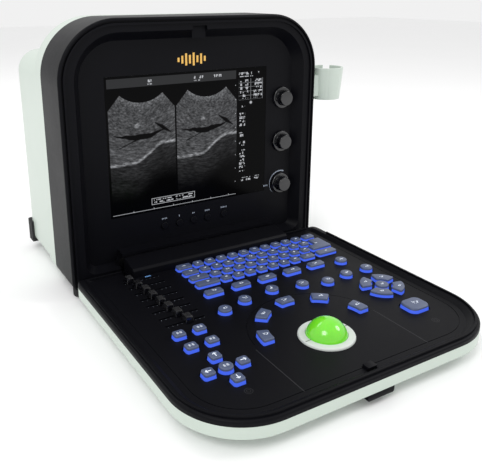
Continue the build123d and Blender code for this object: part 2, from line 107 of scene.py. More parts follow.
class Shader:
    def __init__(self, name):
        self.material = bpy.data.materials.new(name)
        self.material.use_nodes = True
        self.tree = self.material.node_tree
        self.surface = self.tree.nodes["Principled BSDF"]

    def node(self, kind, settings, inputs):
        made = self.tree.nodes.new(kind)
        for key, value in settings.items():
            if key == "stops":
                ramp = made.color_ramp.elements
                while len(ramp) < len(value):
                    ramp.new(0.5)
                for element, (place, colour) in zip(ramp, value):
                    element.position = place
                    element.color = (*colour, 1)
            else:
                setattr(made, key, value)
        for key, value in inputs.items():
            self.feed(made.inputs[key], value)
        return made

    def feed(self, socket, value):
        if isinstance(value, Num):
            value = value.socket
        if isinstance(value, bpy.types.NodeSocket):
            self.tree.links.new(value, socket)
        else:
            socket.default_value = value

    def number(self, kind, settings, inputs, output=0):
        return Num(self, self.node(kind, settings, inputs).outputs[output])

    def maths(self, operation, *values):
        return self.number("ShaderNodeMath", {"operation": operation}, dict(enumerate(values)))

    def place(self):
        # object coordinates, as a vector and as three numbers
        vector = self.node("ShaderNodeTexCoord", {}, {}).outputs["Object"]
        split = self.node("ShaderNodeSeparateXYZ", {}, {0: vector})
        return vector, Num(self, split.outputs[0]), Num(self, split.outputs[1]), Num(self, split.outputs[2])

    def vector(self, x, y, z):
        return self.node("ShaderNodeCombineXYZ", {}, {0: x, 1: y, 2: z}).outputs[0]

    def noise(self, vector, scale, detail=3.0, roughness=0.5):
        inputs = {"Vector": vector, "Scale": scale, "Detail": detail, "Roughness": roughness}
        return self.number("ShaderNodeTexNoise", {}, inputs)

    def mix(self, factor, first, second):
        made = self.node("ShaderNodeMix", {"data_type": "RGBA"}, {0: factor})
        for socket, value in ((made.inputs[6], first), (made.inputs[7], second)):
            self.feed(socket, (*value, 1) if isinstance(value, tuple) else value)
        return made.outputs[2]

    def bump(self, height, strength, distance):
        inputs = {"Height": height, "Strength": strength, "Distance": distance}
        self.feed(self.surface.inputs["Normal"], self.node("ShaderNodeBump", {}, inputs).outputs[0])

    def set(self, **values):
        for key, value in values.items():
            name = key.replace("_", " ")
            if isinstance(value, tuple):
                value = (*value, 1)
            self.feed(self.surface.inputs[name], value)


plasticValues = {
    "black": (0.0024, 0.0024, 0.0036), "blackWorn": (0.0044, 0.0045, 0.0062),
    # the darker of the two whites on this line gives random mottling and painted shade towards the floor
    "white": (0.56, 0.63, 0.57), "whiteMottleAndShade": (0.47, 0.55, 0.48),
    "grainScale": 1900.0, "blackRoughness": 0.3, "whiteRoughness": 0.28, "blackSpecular": 0.085,
    "paintedShadeHeight": 50 * mm,
}


def makeBlackPlastic(name, roughness, grain):
    shader = Shader(name)
    vector, x, y, z = shader.place()
    broad = shader.noise(vector, 14.0, 4.0)
    fine = shader.noise(vector, grain, 2.0)
    scuff = shader.noise(vector, 160.0, 6.0, 0.7)
    shader.set(Base_Color=shader.mix(broad, plasticValues["black"], plasticValues["blackWorn"]))
    shader.set(Roughness=roughness + 0.12 * broad + 0.1 * scuff)
    shader.set(Specular_IOR_Level=plasticValues["blackSpecular"])
    shader.bump(fine + 0.25 * scuff, 0.16, 0.00012)
    return shader.material


def makeWhitePlastic(name):
    shader = Shader(name)
    vector, x, y, z = shader.place()
    broad = shader.noise(vector, 9.0, 4.0)
    fine = shader.noise(vector, 1300.0, 2.0)
    # painted shade: within the lowest 50 mm the white is mixed toward the darker tone, darker towards the
    # floor; the broad noise adds random mottling
    low = shader.maths("MINIMUM", 1.0, shader.maths("MAXIMUM", 0.0, 1.0 - z / plasticValues["paintedShadeHeight"]))
    tone = shader.mix(0.35 * broad + 0.3 * low, plasticValues["white"], plasticValues["whiteMottleAndShade"])
    shader.set(Base_Color=tone, Roughness=plasticValues["whiteRoughness"] + 0.14 * broad)
    shader.set(Coat_Weight=0.15, Coat_Roughness=0.2)
    shader.bump(fine, 0.1, 0.0001)
    return shader.material


def makeRubber():
    shader = Shader("rubber")
    vector, x, y, z = shader.place()
    broad = shader.noise(vector, 60.0, 5.0)
    fine = shader.noise(vector, 1500.0, 3.0)
    shader.set(Base_Color=shader.mix(broad, (0.012, 0.012, 0.013), (0.03, 0.03, 0.031)))
    shader.set(Roughness=0.72 + 0.15 * broad, Specular_IOR_Level=0.3)
    shader.bump(fine, 0.3, 0.00015)
    return shader.material


def makeSteel():
    shader = Shader("steel")
    vector, x, y, z = shader.place()
    streak = shader.noise(shader.vector(x * 60.0, y * 900.0, z * 900.0), 1.0, 4.0)
    cloud = shader.noise(vector, 45.0, 4.0)
    shader.set(Base_Color=shader.mix(cloud, (0.46, 0.47, 0.49), (0.62, 0.62, 0.63)))
    shader.set(Metallic=1.0, Roughness=0.24 + 0.16 * streak + 0.08 * cloud)
    shader.bump(streak, 0.12, 0.00005)
    return shader.material


def makeGold():
    shader = Shader("goldPrint")
    vector, x, y, z = shader.place()
    cloud = shader.noise(vector, 300.0, 3.0)
    shader.set(Base_Color=shader.mix(cloud, (0.78, 0.42, 0.08), (0.95, 0.62, 0.2)))
    shader.set(Metallic=1.0, Roughness=0.22 + 0.1 * cloud)
    return shader.material


def makePrint(name, colour, glow):
    shader = Shader(name)
    vector, x, y, z = shader.place()
    cloud = shader.noise(vector, 500.0, 3.0)
    faded = tuple(0.75 * part for part in colour)
    shader.set(Base_Color=shader.mix(cloud, colour, faded), Roughness=0.5 + 0.1 * cloud)
    shader.set(Emission_Color=colour, Emission_Strength=glow)
    return shader.material


keyValues = {
    "top": (0.085, 0.105, 0.15), "topEdge": (0.06, 0.08, 0.15), "side": (0.03, 0.06, 0.5),
    "glow": (0.06, 0.14, 0.8), "glowStrength": 0.72, "printDepth": 2.3 * mm,
    "glowDepth": 4.2 * mm, "glowReach": 6.0 * mm, "topDimming": 0.93,
    "letterTop": 31.6 * mm, "tallTop": 32.3 * mm,
}


def makeKeyPlastic(name, topZ):
    # clear keycaps lit from below: grey-blue printed tops and glowing blue sides
    shader = Shader(name)
    vector, x, y, z = shader.place()
    cloud = shader.noise(vector, 120.0, 3.0)
    fine = shader.noise(vector, 2200.0, 2.0)
    onTop = z > topZ - keyValues["printDepth"]
    top = shader.mix(cloud, keyValues["top"], keyValues["topEdge"])
    shader.set(Base_Color=shader.mix(onTop, keyValues["side"], top))
    shader.set(Roughness=0.28 + 0.14 * onTop + 0.08 * cloud, Coat_Weight=0.2, Coat_Roughness=0.15)
    away = abs(z - (topZ - keyValues["glowDepth"])) / keyValues["glowReach"]
    base = 1.0 - shader.maths("MINIMUM", 1.0, away)
    amount = (1.0 - keyValues["topDimming"] * onTop) * (0.45 + 0.55 * base)
    shader.set(Emission_Color=shader.mix(amount, (0.0, 0.0, 0.0), keyValues["glow"]))
    shader.set(Emission_Strength=keyValues["glowStrength"])
    shader.bump(fine, 0.08, 0.00008)
    return shader.material


def makeBallGreen():
    shader = Shader("ballGreen")
    vector, x, y, z = shader.place()
    cloud = shader.noise(vector, 70.0, 4.0)
    shader.set(Base_Color=shader.mix(cloud, (0.13, 0.6, 0.012), (0.19, 0.7, 0.03)))
    shader.set(Roughness=0.12 + 0.08 * cloud, Coat_Weight=0.6, Coat_Roughness=0.06)
    # painted glow: a faint green emission makes the ball brighter than the lamps light it
    shader.set(Emission_Color=(0.14, 0.7, 0.02), Emission_Strength=0.12, Subsurface_Weight=0.1)
    return shader.material


def makeRingPlastic():
    shader = Shader("ringPlastic")
    vector, x, y, z = shader.place()
    cloud = shader.noise(vector, 90.0, 4.0)
    fine = shader.noise(vector, 1600.0, 2.0)
    shader.set(Base_Color=shader.mix(cloud, (0.56, 0.6, 0.57), (0.66, 0.7, 0.66)))
    shader.set(Roughness=0.3 + 0.12 * cloud)
    shader.bump(fine, 0.1, 0.0001)
    return shader.material


def makeCircuitBoard():
    shader = Shader("circuitBoard")
    vector, x, y, z = shader.place()
    tracks = shader.number("ShaderNodeTexBrick", {}, {"Vector": vector, "Scale": 90.0}, 1)
    shader.set(Base_Color=shader.mix(tracks, (0.01, 0.12, 0.04), (0.03, 0.2, 0.08)))
    shader.set(Roughness=0.35 + 0.1 * tracks)
    return shader.material


screenValues = {
    "border": 2.6 * mm, "brightness": 0.8,
    "leftCentre": 0.195, "rightCentre": 0.605, "apexHigh": 1.07, "nearRadius": 0.25,
    "spread": 0.72, "imageBottom": 0.06, "halfWide": 0.2, "lineLow": 0.37, "lineRise": 0.135,
    "cellColumns": 170.0, "cellRows": 104.0, "textRows": 34.67, "inkAmount": 0.4,
}


def makeScreenPicture():
    # the lit display under its window: two fan-shaped scans, a strip of settings and a column of readings
    shader = Shader("screenPicture")
    low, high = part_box("screen_lens")
    width, height = high.x - low.x, high.z - low.z
    vector, x, y, z = shader.place()
    border = screenValues["border"]
    u = (x - (low.x + border)) / (width - 2 * border)
    v = (z - (low.z + border)) / (height - 2 * border)
    ratio = height / width
    inside = (u > 0.0) * (u < 1.0) * (v > 0.0) * (v < 1.0)

    def smooth(value, start, end):
        settings = {"interpolation_type": "SMOOTHSTEP"}
        inputs = {"Value": value, "From Min": start, "From Max": end}
        return shader.number("ShaderNodeMapRange", settings, inputs)

    def box(left, right, bottom, top):
        return (u > left) * (u < right) * (v > bottom) * (v < top)

    def scan(centre, seed):
        local = u - centre
        across = local / ratio
        down = screenValues["apexHigh"] - v
        radius = shader.maths("SQRT", across * across + down * down)
        angle = shader.maths("ARCTAN2", across, down)
        window = (radius > screenValues["nearRadius"]) * (abs(angle) < screenValues["spread"])
        window = window * (v > screenValues["imageBottom"]) * (abs(local) < screenValues["halfWide"])
        speckle = shader.noise(shader.vector(angle * 17.0, radius * 80.0, seed), 1.0, 3.0, 0.7)
        tissue = shader.noise(shader.vector(angle * 6.0, radius * 16.0, seed), 1.0, 4.0, 0.6)
        wave = 0.02 * shader.noise(shader.vector(local * 16.0, seed, 0.0), 1.0, 2.0)
        line = screenValues["lineLow"] + screenValues["lineRise"] * smooth(local, -0.06, 0.14) + wave
        edge = smooth(abs(v - line), 0.022, 0.0) ** 1.6
        above = smooth(v - line, 0.0, 0.02)
        deep = (1.0 - above) * smooth(v - line, -0.3, 0.0)
        vesselLine = 0.553 + 1.6 * (local + 0.03) * (local + 0.03) + 1.5 * wave
        thick = 0.019 * smooth(abs(local + 0.01), 0.17, 0.02)
        vessel = smooth(abs(v - vesselLine) - thick, 0.006, -0.002) * (abs(local + 0.01) < 0.16)
        thread = smooth(abs(v - (0.52 + 0.5 * (local + 0.1))), 0.008, 0.002) * (abs(local + 0.06) < 0.08)
        slit = smooth(abs(v - (0.645 - 0.85 * (local - 0.1))) + 0.3 * abs(local - 0.125), 0.026, 0.012)
        slit = slit * (abs(local - 0.125) < 0.05)
        spot = smooth(shader.maths("SQRT", (local + 0.03) ** 2.0 + (v - 0.655) ** 2.0), 0.022, 0.008)
        echo = 0.36 * above * (0.3 + tissue) * (1.0 - vessel) * (1.0 - slit) * (1.0 - 0.8 * thread)
        echo = echo + 0.17 * deep * tissue + 1.15 * edge * (0.3 + tissue) + 0.6 * spot
        echo = echo + 0.25 * smooth(radius, screenValues["nearRadius"] + 0.05, screenValues["nearRadius"])
        return window * echo * (speckle ** 2.4) * 1.6

    picture = scan(screenValues["leftCentre"], 3.7) + scan(screenValues["rightCentre"], 8.2)
    column = shader.maths("FLOOR", u * screenValues["cellColumns"])
    cellRow = shader.maths("FLOOR", v * screenValues["cellRows"])
    cell = shader.vector(column, cellRow, 4.0)
    ink = shader.number("ShaderNodeTexWhiteNoise", {"noise_dimensions": "3D"}, {"Vector": cell})
    rowNumber = shader.maths("FLOOR", v * screenValues["textRows"])
    rows = shader.maths("FRACT", v * screenValues["textRows"]) > 0.33
    gaps = shader.noise(shader.vector(u * 30.0, rowNumber * 3.1, 1.0), 1.0, 1.0) > 0.46
    words = (ink > screenValues["inkAmount"]) * rows * gaps
    group = shader.noise(shader.vector(0.0, v * 14.0, 6.0), 1.0, 1.0) > 0.44
    readings = box(0.825, 0.865, 0.18, 0.72) * group
    readings = readings + (box(0.82, 0.93, 0.945, 0.985) + box(0.955, 0.985, 0.95, 0.98))
    readings = readings + box(0.84, 0.985, 0.1, 0.13)
    readings = readings + (box(0.83, 0.885, 0.775, 0.925) + box(0.925, 0.985, 0.775, 0.925))
    readings = readings + box(0.25, 0.5, 0.045, 0.075)
    heading = box(0.2, 0.26, 0.945, 0.985) + box(0.52, 0.58, 0.945, 0.985) + box(0.65, 0.7, 0.955, 0.985)
    tableLines = shader.maths("FRACT", u * 11.8 + 0.32) > 0.955
    tableRows = shader.maths("FRACT", v * 30.0) > 0.9
    table = box(0.82, 0.99, 0.765, 0.93) * shader.maths("MAXIMUM", tableLines, tableRows)
    frameBox = box(0.235, 0.515, 0.035, 0.087) - box(0.2385, 0.5115, 0.0395, 0.0825)
    scaleTicks = shader.maths("FRACT", u * 8.0) > 0.975
    scale = box(0.0, 0.8, 0.0, 0.004) + box(0.0, 0.8, 0.0, 0.014) * scaleTicks
    side = box(0.795, 0.7985, 0.1, 0.93) * (shader.maths("FRACT", v * 9.0) > 0.93)
    starRadius = shader.maths("SQRT", ((u - 0.905) / ratio) ** 2.0 + (v - 0.74) ** 2.0)
    star = smooth(starRadius, 0.016, 0.004)
    header = box(0.0, 0.8, 0.935, 1.0) * 0.04
    lit = picture + 0.6 * words * (readings + heading) + 0.22 * table + 0.5 * frameBox + 0.45 * scale
    lit = (lit + 0.5 * side + 0.7 * star + header) * inside
    tint = shader.mix(shader.maths("MINIMUM", 1.0, lit), (0.0, 0.0, 0.0), (0.93, 0.95, 1.0))
    shader.set(Base_Color=(0.001, 0.001, 0.0012), Roughness=0.14 + 0.04 * shader.noise(vector, 40.0))
    shader.set(Emission_Color=tint, Emission_Strength=screenValues["brightness"], Specular_IOR_Level=0.05)
    return shader.material


finishValues = {
    "deckRoughness": 0.34, "deckGrain": 1500.0, "glossRoughness": 0.1, "glossGrain": 900.0,
    "glossCoat": (("Specular IOR Level", 0.5), ("Coat Weight", 0.4), ("Coat Roughness", 0.12)),
    # seam is the grey of the painted highlight along the deck seams and screw rings
    "darkRoughness": 0.5, "darkGrain": 2400.0, "seam": (0.02, 0.02, 0.024),
}

blackPlastic = makeBlackPlastic("blackPlastic", plasticValues["blackRoughness"], plasticValues["grainScale"])
deckPlastic = makeBlackPlastic("deckPlastic", finishValues["deckRoughness"], finishValues["deckGrain"])
glossPlastic = makeBlackPlastic("glossPlastic", finishValues["glossRoughness"], finishValues["glossGrain"])
for socket, value in finishValues["glossCoat"]:
    glossPlastic.node_tree.nodes["Principled BSDF"].inputs[socket].default_value = value
# painted highlight: a grey a little lighter than the black deck, for the light caught along seams and screw
# rings
seamHighlightPlastic = makePrint("seamHighlightPlastic", finishValues["seam"], 0.0)
darkPlastic = makeBlackPlastic("darkPlastic", finishValues["darkRoughness"], finishValues["darkGrain"])
whitePlastic = makeWhitePlastic("whitePlastic")
rubber = makeRubber()
steel = makeSteel()
goldPrint = makeGold()
# whitePrint's emission is the keys' backlight on the key legends and pad arrows, and painted glow on the
# knob dots
whitePrint = makePrint("whitePrint", (0.8, 0.86, 0.95), 0.25)
palePrint = makePrint("palePrint", (0.35, 0.4, 0.48), 0.0)
# bluePrint's faint emission is painted glow on the deck slider label
bluePrint = makePrint("bluePrint", (0.2, 0.45, 0.9), 0.1)
keyPlastic = makeKeyPlastic("keyPlastic", keyValues["letterTop"])
tallKeyPlastic = makeKeyPlastic("tallKeyPlastic", keyValues["tallTop"])
ballGreen = makeBallGreen()
ringPlastic = makeRingPlastic()
circuitBoard = makeCircuitBoard()
screenPicture = makeScreenPicture()
print("materials made")

slotMaterials = {
    "black_plastic": blackPlastic, "dark_plastic": darkPlastic, "white_plastic": whitePlastic,
    "screen_glass": screenPicture, "steel": steel, "circuit_board": circuitBoard, "rubber": rubber,
    "key_blue": tallKeyPlastic, "ball_green": ballGreen, "ring_plastic": ringPlastic,
}
nodeSlot = {part["node"]: part["material_slot"] for part in frame["record"]["subparts"]}


def paint(thing, material):
    thing.data.materials.clear()
    thing.data.materials.append(material)


for name, thing in nodes.items():
    paint(thing, slotMaterials[nodeSlot[name]])
for name in ("keyboard_deck", "hinge_cover"):
    paint(nodes[name], deckPlastic)


meshValues = {"weld": 1e-6, "flat": 0.6, "topBand": 0.5 * mm, "sharp": 28}


def addMesh(name, vertices, faces, material):
    mesh = bpy.data.meshes.new(name)
    mesh.from_pydata(vertices, [], faces)
    mesh.update()
    thing = bpy.data.objects.new(name, mesh)
    bpy.context.scene.collection.objects.link(thing)
    mesh.materials.append(material)
    return thing


def bake(thing):
    # the evaluated shape becomes the object's own mesh
    bpy.context.view_layer.update()
    depsgraph = bpy.context.evaluated_depsgraph_get()
    mesh = bpy.data.meshes.new_from_object(thing.evaluated_get(depsgraph))
    thing.modifiers.clear()
    thing.data = mesh
    return thing


def settle(thing, body):
    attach(thing, body)
    return thing


def looseGroups(mesh):
    seen = set()
    groups = []
    for start in mesh.verts:
        if start in seen:
            continue
        group, waiting = [], [start]
        seen.add(start)
        while waiting:
            vertex = waiting.pop()
            group.append(vertex)
            for edge in vertex.link_edges:
                other = edge.other_vert(vertex)
                if other not in seen:
                    seen.add(other)
                    waiting.append(other)
        groups.append(group)
    return groups


def corners(group):
    lows = Vector([min(vertex.co[axis] for vertex in group) for axis in range(3)])
    highs = Vector([max(vertex.co[axis] for vertex in group) for axis in range(3)])
    return lows, highs


def drawIn(mesh, amount):
    # each key's top is smaller than its foot
    for group in looseGroups(mesh):
        lows, highs = corners(group)
        middle = (lows + highs) / 2
        size = highs - lows
        for vertex in group:
            if vertex.co.z > highs.z - meshValues["topBand"]:
                for axis in (0, 1):
                    keep = 1 - 2 * amount / size[axis]
                    vertex.co[axis] = middle[axis] + (vertex.co[axis] - middle[axis]) * keep


def softCopy(node, width, segments, material, taper):
    # the same part with its edges rounded, as it comes out of a mould
    mesh = bmesh.new()
    mesh.from_mesh(nodes[node].data)
    bmesh.ops.remove_doubles(mesh, verts=mesh.verts, dist=meshValues["weld"])
    if taper:
        drawIn(mesh, taper)
    flat = math.radians(meshValues["flat"])
    bmesh.ops.dissolve_limit(mesh, angle_limit=flat, verts=mesh.verts, edges=mesh.edges)
    data = bpy.data.meshes.new(node + "_soft")
    mesh.to_mesh(data)
    mesh.free()
    thing = bpy.data.objects.new(node + "_soft", data)
    bpy.context.scene.collection.objects.link(thing)
    data.materials.clear()
    data.materials.append(material)
    for face in data.polygons:
        face.use_smooth = True
    bevel = thing.modifiers.new("edges", "BEVEL")
    bevel.width = width
    bevel.segments = segments
    bevel.limit_method = "ANGLE"
    bevel.angle_limit = math.radians(meshValues["sharp"])
    bevel.harden_normals = True
    bake(thing)
    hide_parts(node)
    return settle(thing, nodeBody[node])


def islands(node):
    # the lowest and highest corners of every loose piece in a node
    mesh = bmesh.new()
    mesh.from_mesh(nodes[node].data)
    bmesh.ops.remove_doubles(mesh, verts=mesh.verts, dist=meshValues["weld"])
    boxes = [corners(group) for group in looseGroups(mesh)]
    mesh.free()
    return sorted(boxes, key=lambda pair: (round(pair[0].y, 4), round(pair[0].x, 4)))


class GeoTree:
    def __init__(self, name, inputs):
        self.tree = bpy.data.node_groups.new(name, "GeometryNodeTree")
        for side in ("INPUT", "OUTPUT"):
            self.tree.interface.new_socket("Geometry", in_out=side, socket_type="NodeSocketGeometry")
        self.ids = {}
        for label, (kind, value) in inputs.items():
            socket = self.tree.interface.new_socket(label, in_out="INPUT", socket_type=kind)
            self.ids[label] = (socket.identifier, value)
        self.start = self.tree.nodes.new("NodeGroupInput")
        self.end = self.tree.nodes.new("NodeGroupOutput")

    def value(self, label):
        return self.start.outputs[label]

    def node(self, kind, settings, inputs):
        made = self.tree.nodes.new(kind)
        for key, value in settings.items():
            setattr(made, key, value)
        for key, value in inputs.items():
            if isinstance(value, bpy.types.NodeSocket):
                self.tree.links.new(value, made.inputs[key])
            else:
                made.inputs[key].default_value = value
        return made

    def finish(self, geometry, material):
        real = self.node("GeometryNodeRealizeInstances", {}, {0: geometry}).outputs[0]
        painted = self.node("GeometryNodeSetMaterial", {}, {0: real, "Material": material}).outputs[0]
        self.tree.links.new(painted, self.end.inputs[0])

    def apply(self, thing):
        modifier = thing.modifiers.new(self.tree.name, "NODES")
        modifier.node_group = self.tree
        for identifier, value in self.ids.values():
            modifier[identifier] = value
        return bake(thing)


markValues = {"strokeThin": 0.55 * mm, "strokes": 7, "seed": 7}


def markTree(name, spread, length, material):
    # short strokes scattered in a small block, one block at each point, like a printed legend
    tree = GeoTree(name, {
        "Stroke length": ("NodeSocketFloat", length),
        "Stroke width": ("NodeSocketFloat", markValues["strokeThin"]),
        "Strokes": ("NodeSocketInt", markValues["strokes"]), "Spread": ("NodeSocketFloat", spread),
        "Seed": ("NodeSocketInt", markValues["seed"]),
    })
    line = tree.node("GeometryNodeMeshLine", {}, {"Count": tree.value("Strokes"), "Offset": (0.0, 0.0, 0.0)})
    blocks = tree.node("GeometryNodeInstanceOnPoints", {}, {
        "Points": tree.value("Geometry"), "Instance": line.outputs[0]})
    points = tree.node("GeometryNodeRealizeInstances", {}, {0: blocks.outputs[0]})
    scatter = tree.node("FunctionNodeRandomValue", {"data_type": "FLOAT_VECTOR"}, {
        0: (-1.0, -0.6, 0.0), 1: (1.0, 0.6, 0.0), "Seed": tree.value("Seed")})
    shift = tree.node("ShaderNodeVectorMath", {"operation": "SCALE"}, {
        0: scatter.outputs[0], "Scale": tree.value("Spread")})
    moved = tree.node("GeometryNodeSetPosition", {}, {0: points.outputs[0], "Offset": shift.outputs[0]})
    turn = tree.node("FunctionNodeRandomValue", {"data_type": "INT"}, {
        4: 0, 5: 1, "Seed": tree.value("Seed")})
    angle = tree.node("ShaderNodeMath", {"operation": "MULTIPLY"}, {0: turn.outputs[2], 1: math.pi / 2})
    facing = tree.node("ShaderNodeCombineXYZ", {}, {2: angle.outputs[0]})
    stroke = tree.node("GeometryNodeMeshGrid", {}, {
        "Size X": tree.value("Stroke length"), "Size Y": tree.value("Stroke width"),
        "Vertices X": 2, "Vertices Y": 2})
    marks = tree.node("GeometryNodeInstanceOnPoints", {}, {
        "Points": moved.outputs[0], "Instance": stroke.outputs[0], "Rotation": facing.outputs[0]})
    tree.finish(marks.outputs[0], material)
    return tree


def addLegends(node, spread, length, lift):
    tops = [((low.x + high.x) / 2, (low.y + high.y) / 2, high.z + lift) for low, high in islands(node)]
    thing = addMesh(node + "_legends", tops, [], whitePrint)
    markTree(node + "Marks", spread, length, whitePrint).apply(thing)
    return settle(thing, nodeBody[node])


# each part's edge width, bevel steps, material and how far its top is drawn in
softParts = {
    "letter_keys": (0.6 * mm, 3, keyPlastic, 1.0 * mm),
    "function_keys": (0.8 * mm, 3, tallKeyPlastic, 1.1 * mm),
    "round_keys": (0.8 * mm, 3, tallKeyPlastic, 1.1 * mm),
    "arc_keys": (0.7 * mm, 3, tallKeyPlastic, 1.0 * mm),
    "pad_keys_left": (0.8 * mm, 3, tallKeyPlastic, 1.0 * mm),
    "pad_keys_right": (0.6 * mm, 3, tallKeyPlastic, 0.7 * mm),
    "freeze_key": (1.3 * mm, 4, tallKeyPlastic, 1.4 * mm), "power_switch": (0.4 * mm, 2, blackPlastic, 0.0),
    "handle_pivots": (0.8 * mm, 3, blackPlastic, 0.0), "carrying_handle": (1.2 * mm, 3, blackPlastic, 0.0),
    "probe_holder": (0.5 * mm, 3, whitePlastic, 0.0), "mains_inlet": (0.4 * mm, 2, blackPlastic, 0.0),
    "hinge_cover": (1.4 * mm, 4, deckPlastic, 0.0), "latch_paddle": (0.4 * mm, 2, blackPlastic, 0.0),
}
for number in range(1, 9):
    softParts["gain_slider_%d" % number] = (0.18 * mm, 2, glossPlastic, 0.0)
for name in ("upper", "middle", "lower"):
    softParts["knob_" + name] = (0.7 * mm, 3, glossPlastic, 0.0)
for number in range(1, 6):
    softParts["bezel_button_%d" % number] = (0.5 * mm, 3, blackPlastic, 0.0)
for node, (width, segments, material, taper) in softParts.items():
    softCopy(node, width, segments, material, taper)
print("edges rounded")

# how far each keycap's legend spreads and how long its strokes are
legendValues = {
    "letter_keys": (1.7 * mm, 1.5 * mm), "function_keys": (3.0 * mm, 2.0 * mm),
    "round_keys": (2.9 * mm, 1.9 * mm), "arc_keys": (3.2 * mm, 2.0 * mm),
    "pad_keys_right": (2.4 * mm, 1.7 * mm), "freeze_key": (4.6 * mm, 2.8 * mm),
    "lift": 0.04 * mm,
}
for node in ("letter_keys", "function_keys", "round_keys", "arc_keys", "pad_keys_right", "freeze_key"):
    spread, length = legendValues[node]
    addLegends(node, spread, length, legendValues["lift"])
print("legends printed")


class Print:
    # flat marks gathered into one piece, each given by its corners
    def __init__(self):
        self.vertices = []
        self.faces = []

    def shape(self, points):
        start = len(self.vertices)
        self.vertices += points
        self.faces.append(tuple(range(start, start + len(points))))

    def bar(self, middle, along, across, length, thickness):
        middle, along, across = Vector(middle), Vector(along), Vector(across)
        ends = ((-1, -1), (1, -1), (1, 1), (-1, 1))
        self.shape([middle + along * (a * length / 2) + across * (b * thickness / 2) for a, b in ends])

    def finish(self, name, material, body, slotName):
        thing = addMesh(name, [tuple(vertex) for vertex in self.vertices], self.faces, material)
        return settle(thing, body)


right, up, back = Vector((1, 0, 0)), Vector((0, 0, 1)), Vector((0, 1, 0))

padValues = {
    "reach": 17.6 * mm, "reachFar": 19.2 * mm, "arrow": 5.6 * mm, "thick": 0.9 * mm, "head": 2.3 * mm,
    "centreY": -239 * mm, "outerFrom": 30 * mm, "middleTo": 5 * mm, "apart": 1.7 * mm,
    "lines": ((0.0, 2.2 * mm, 0.7 * mm), (1.3 * mm, 1.6 * mm, 0.5 * mm), (-1.3 * mm, 2.0 * mm, 0.5 * mm)),
}


def addPadMarks():
    marks = Print()
    boxes = islands("pad_keys_left")
    top = max(high.z for low, high in boxes) + legendValues["lift"]
    middles = [(low + high) / 2 for low, high in boxes]
    meanX = sum(middle.x for middle in middles) / len(middles)
    pad = min(middles, key=lambda spot: abs(spot.x - meanX) + abs(spot.y - padValues["centreY"]))
    for way in ((0, 1), (0, -1), (1, 0), (-1, 0)):
        along = Vector((way[0], way[1], 0))
        across = Vector((-way[1], way[0], 0))
        reach = padValues["reach"] if way[0] else padValues["reachFar"]
        middle = Vector((pad.x, pad.y, top)) + along * reach
        marks.bar(middle, along, across, padValues["arrow"], padValues["thick"])
        tip = middle + along * padValues["arrow"] / 2
        side = (along * -1 + across) * (padValues["head"] / 2)
        other = (along * -1 - across) * (padValues["head"] / 2)
        for turn in (side, other):
            line = turn.normalized()
            cross = Vector((-line.y, line.x, 0))
            marks.bar(tip + turn * 0.75, line, cross, padValues["head"] * 1.25, padValues["thick"])
    for middle in middles:
        away = abs(middle.x - pad.x) + abs(middle.y - pad.y)
        if away > padValues["outerFrom"] or away < padValues["middleTo"]:
            for step in (-1, 1):
                for shift, length, thick in padValues["lines"]:
                    centre = (middle.x + step * padValues["apart"], middle.y + shift, top)
                    marks.bar(centre, right, back, length, thick)
    marks.finish("pad_arrows", whitePrint, "pad_keys_left", "key_blue")


emblemValues = {
    "x": -4.0 * mm, "z": 266.0 * mm, "step": 5.0 * mm, "wide": 2.6 * mm, "panelDepth": 16 * mm,
    "heights": (5, 9, 14, 10, 15, 8, 12, 6), "lift": 0.05 * mm,
}
labelValues = {
    "z": 73.5 * mm, "places": (-45.5, -25.0, -5.0, 15.0, 39.5), "lengths": (7.5, 2.4, 2.6, 7.0, 8.5),
    "letterWidth": 1.7, "letterStep": 1.9, "letterHeights": (2.2, 1.6, 2.0, 1.5), "stroke": 1.1 * mm,
}
# the tapering arc of strokes round the lower knob
gaugeValues = {
    "steps": 12, "from": 75, "turn": 13, "radius": 16.6 * mm, "long": 4.0 * mm, "thin": 0.35, "growth": 0.11,
    "letters": 4, "letterFrom": 26, "letterTall": 2.0 * mm, "letterBelow": 1 * mm,
}


def addPanelMarks():
    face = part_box("front_bezel")[0].y + emblemValues["panelDepth"] - emblemValues["lift"]
    emblem = Print()
    count = len(emblemValues["heights"])
    for number, tall in enumerate(emblemValues["heights"]):
        x = emblemValues["x"] + (number - (count - 1) / 2) * emblemValues["step"]
        middle = Vector((x, face, emblemValues["z"]))
        emblem.bar(middle, up, right * -1, tall * mm, emblemValues["wide"])
    emblem.finish("front_emblem", goldPrint, "screen_unit", "black_plastic")
    labels = Print()
    for place, length in zip(labelValues["places"], labelValues["lengths"]):
        letters = max(1, round(length / labelValues["letterWidth"]))
        for letter in range(letters):
            x = (place + (letter - (letters - 1) / 2) * labelValues["letterStep"]) * mm
            tall = labelValues["letterHeights"][letter % 4] * mm
            labels.bar((x, face, labelValues["z"]), up, right * -1, tall, labelValues["stroke"])
    low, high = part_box("knob_lower")
    centre = (low + high) / 2
    reach = gaugeValues["radius"]
    for step in range(gaugeValues["steps"]):
        angle = math.radians(gaugeValues["from"] + step * gaugeValues["turn"])
        spot = Vector((centre.x + reach * math.cos(angle), face, centre.z + reach * math.sin(angle)))
        along = Vector((-math.sin(angle), 0, math.cos(angle)))
        out = Vector((math.cos(angle), 0, math.sin(angle)))
        thick = gaugeValues["thin"] + gaugeValues["growth"] * (gaugeValues["steps"] - step)
        labels.bar(spot, along * -1, out * -1, gaugeValues["long"], thick * mm)
    for letter in range(gaugeValues["letters"]):
        x = centre.x - (gaugeValues["letterFrom"] - labelValues["letterStep"] * letter) * mm
        spot = (x, face, centre.z - gaugeValues["letterBelow"])
        labels.bar(spot, up, right * -1, gaugeValues["letterTall"], labelValues["stroke"])
    labels.finish("front_labels", palePrint, "screen_unit", "black_plastic")


knobDotValues = {
    "dots": 8, "radius": 12.2 * mm, "dot": 0.75 * mm, "sides": 10, "capDepth": 3.2 * mm, "lift": 0.05 * mm,
}


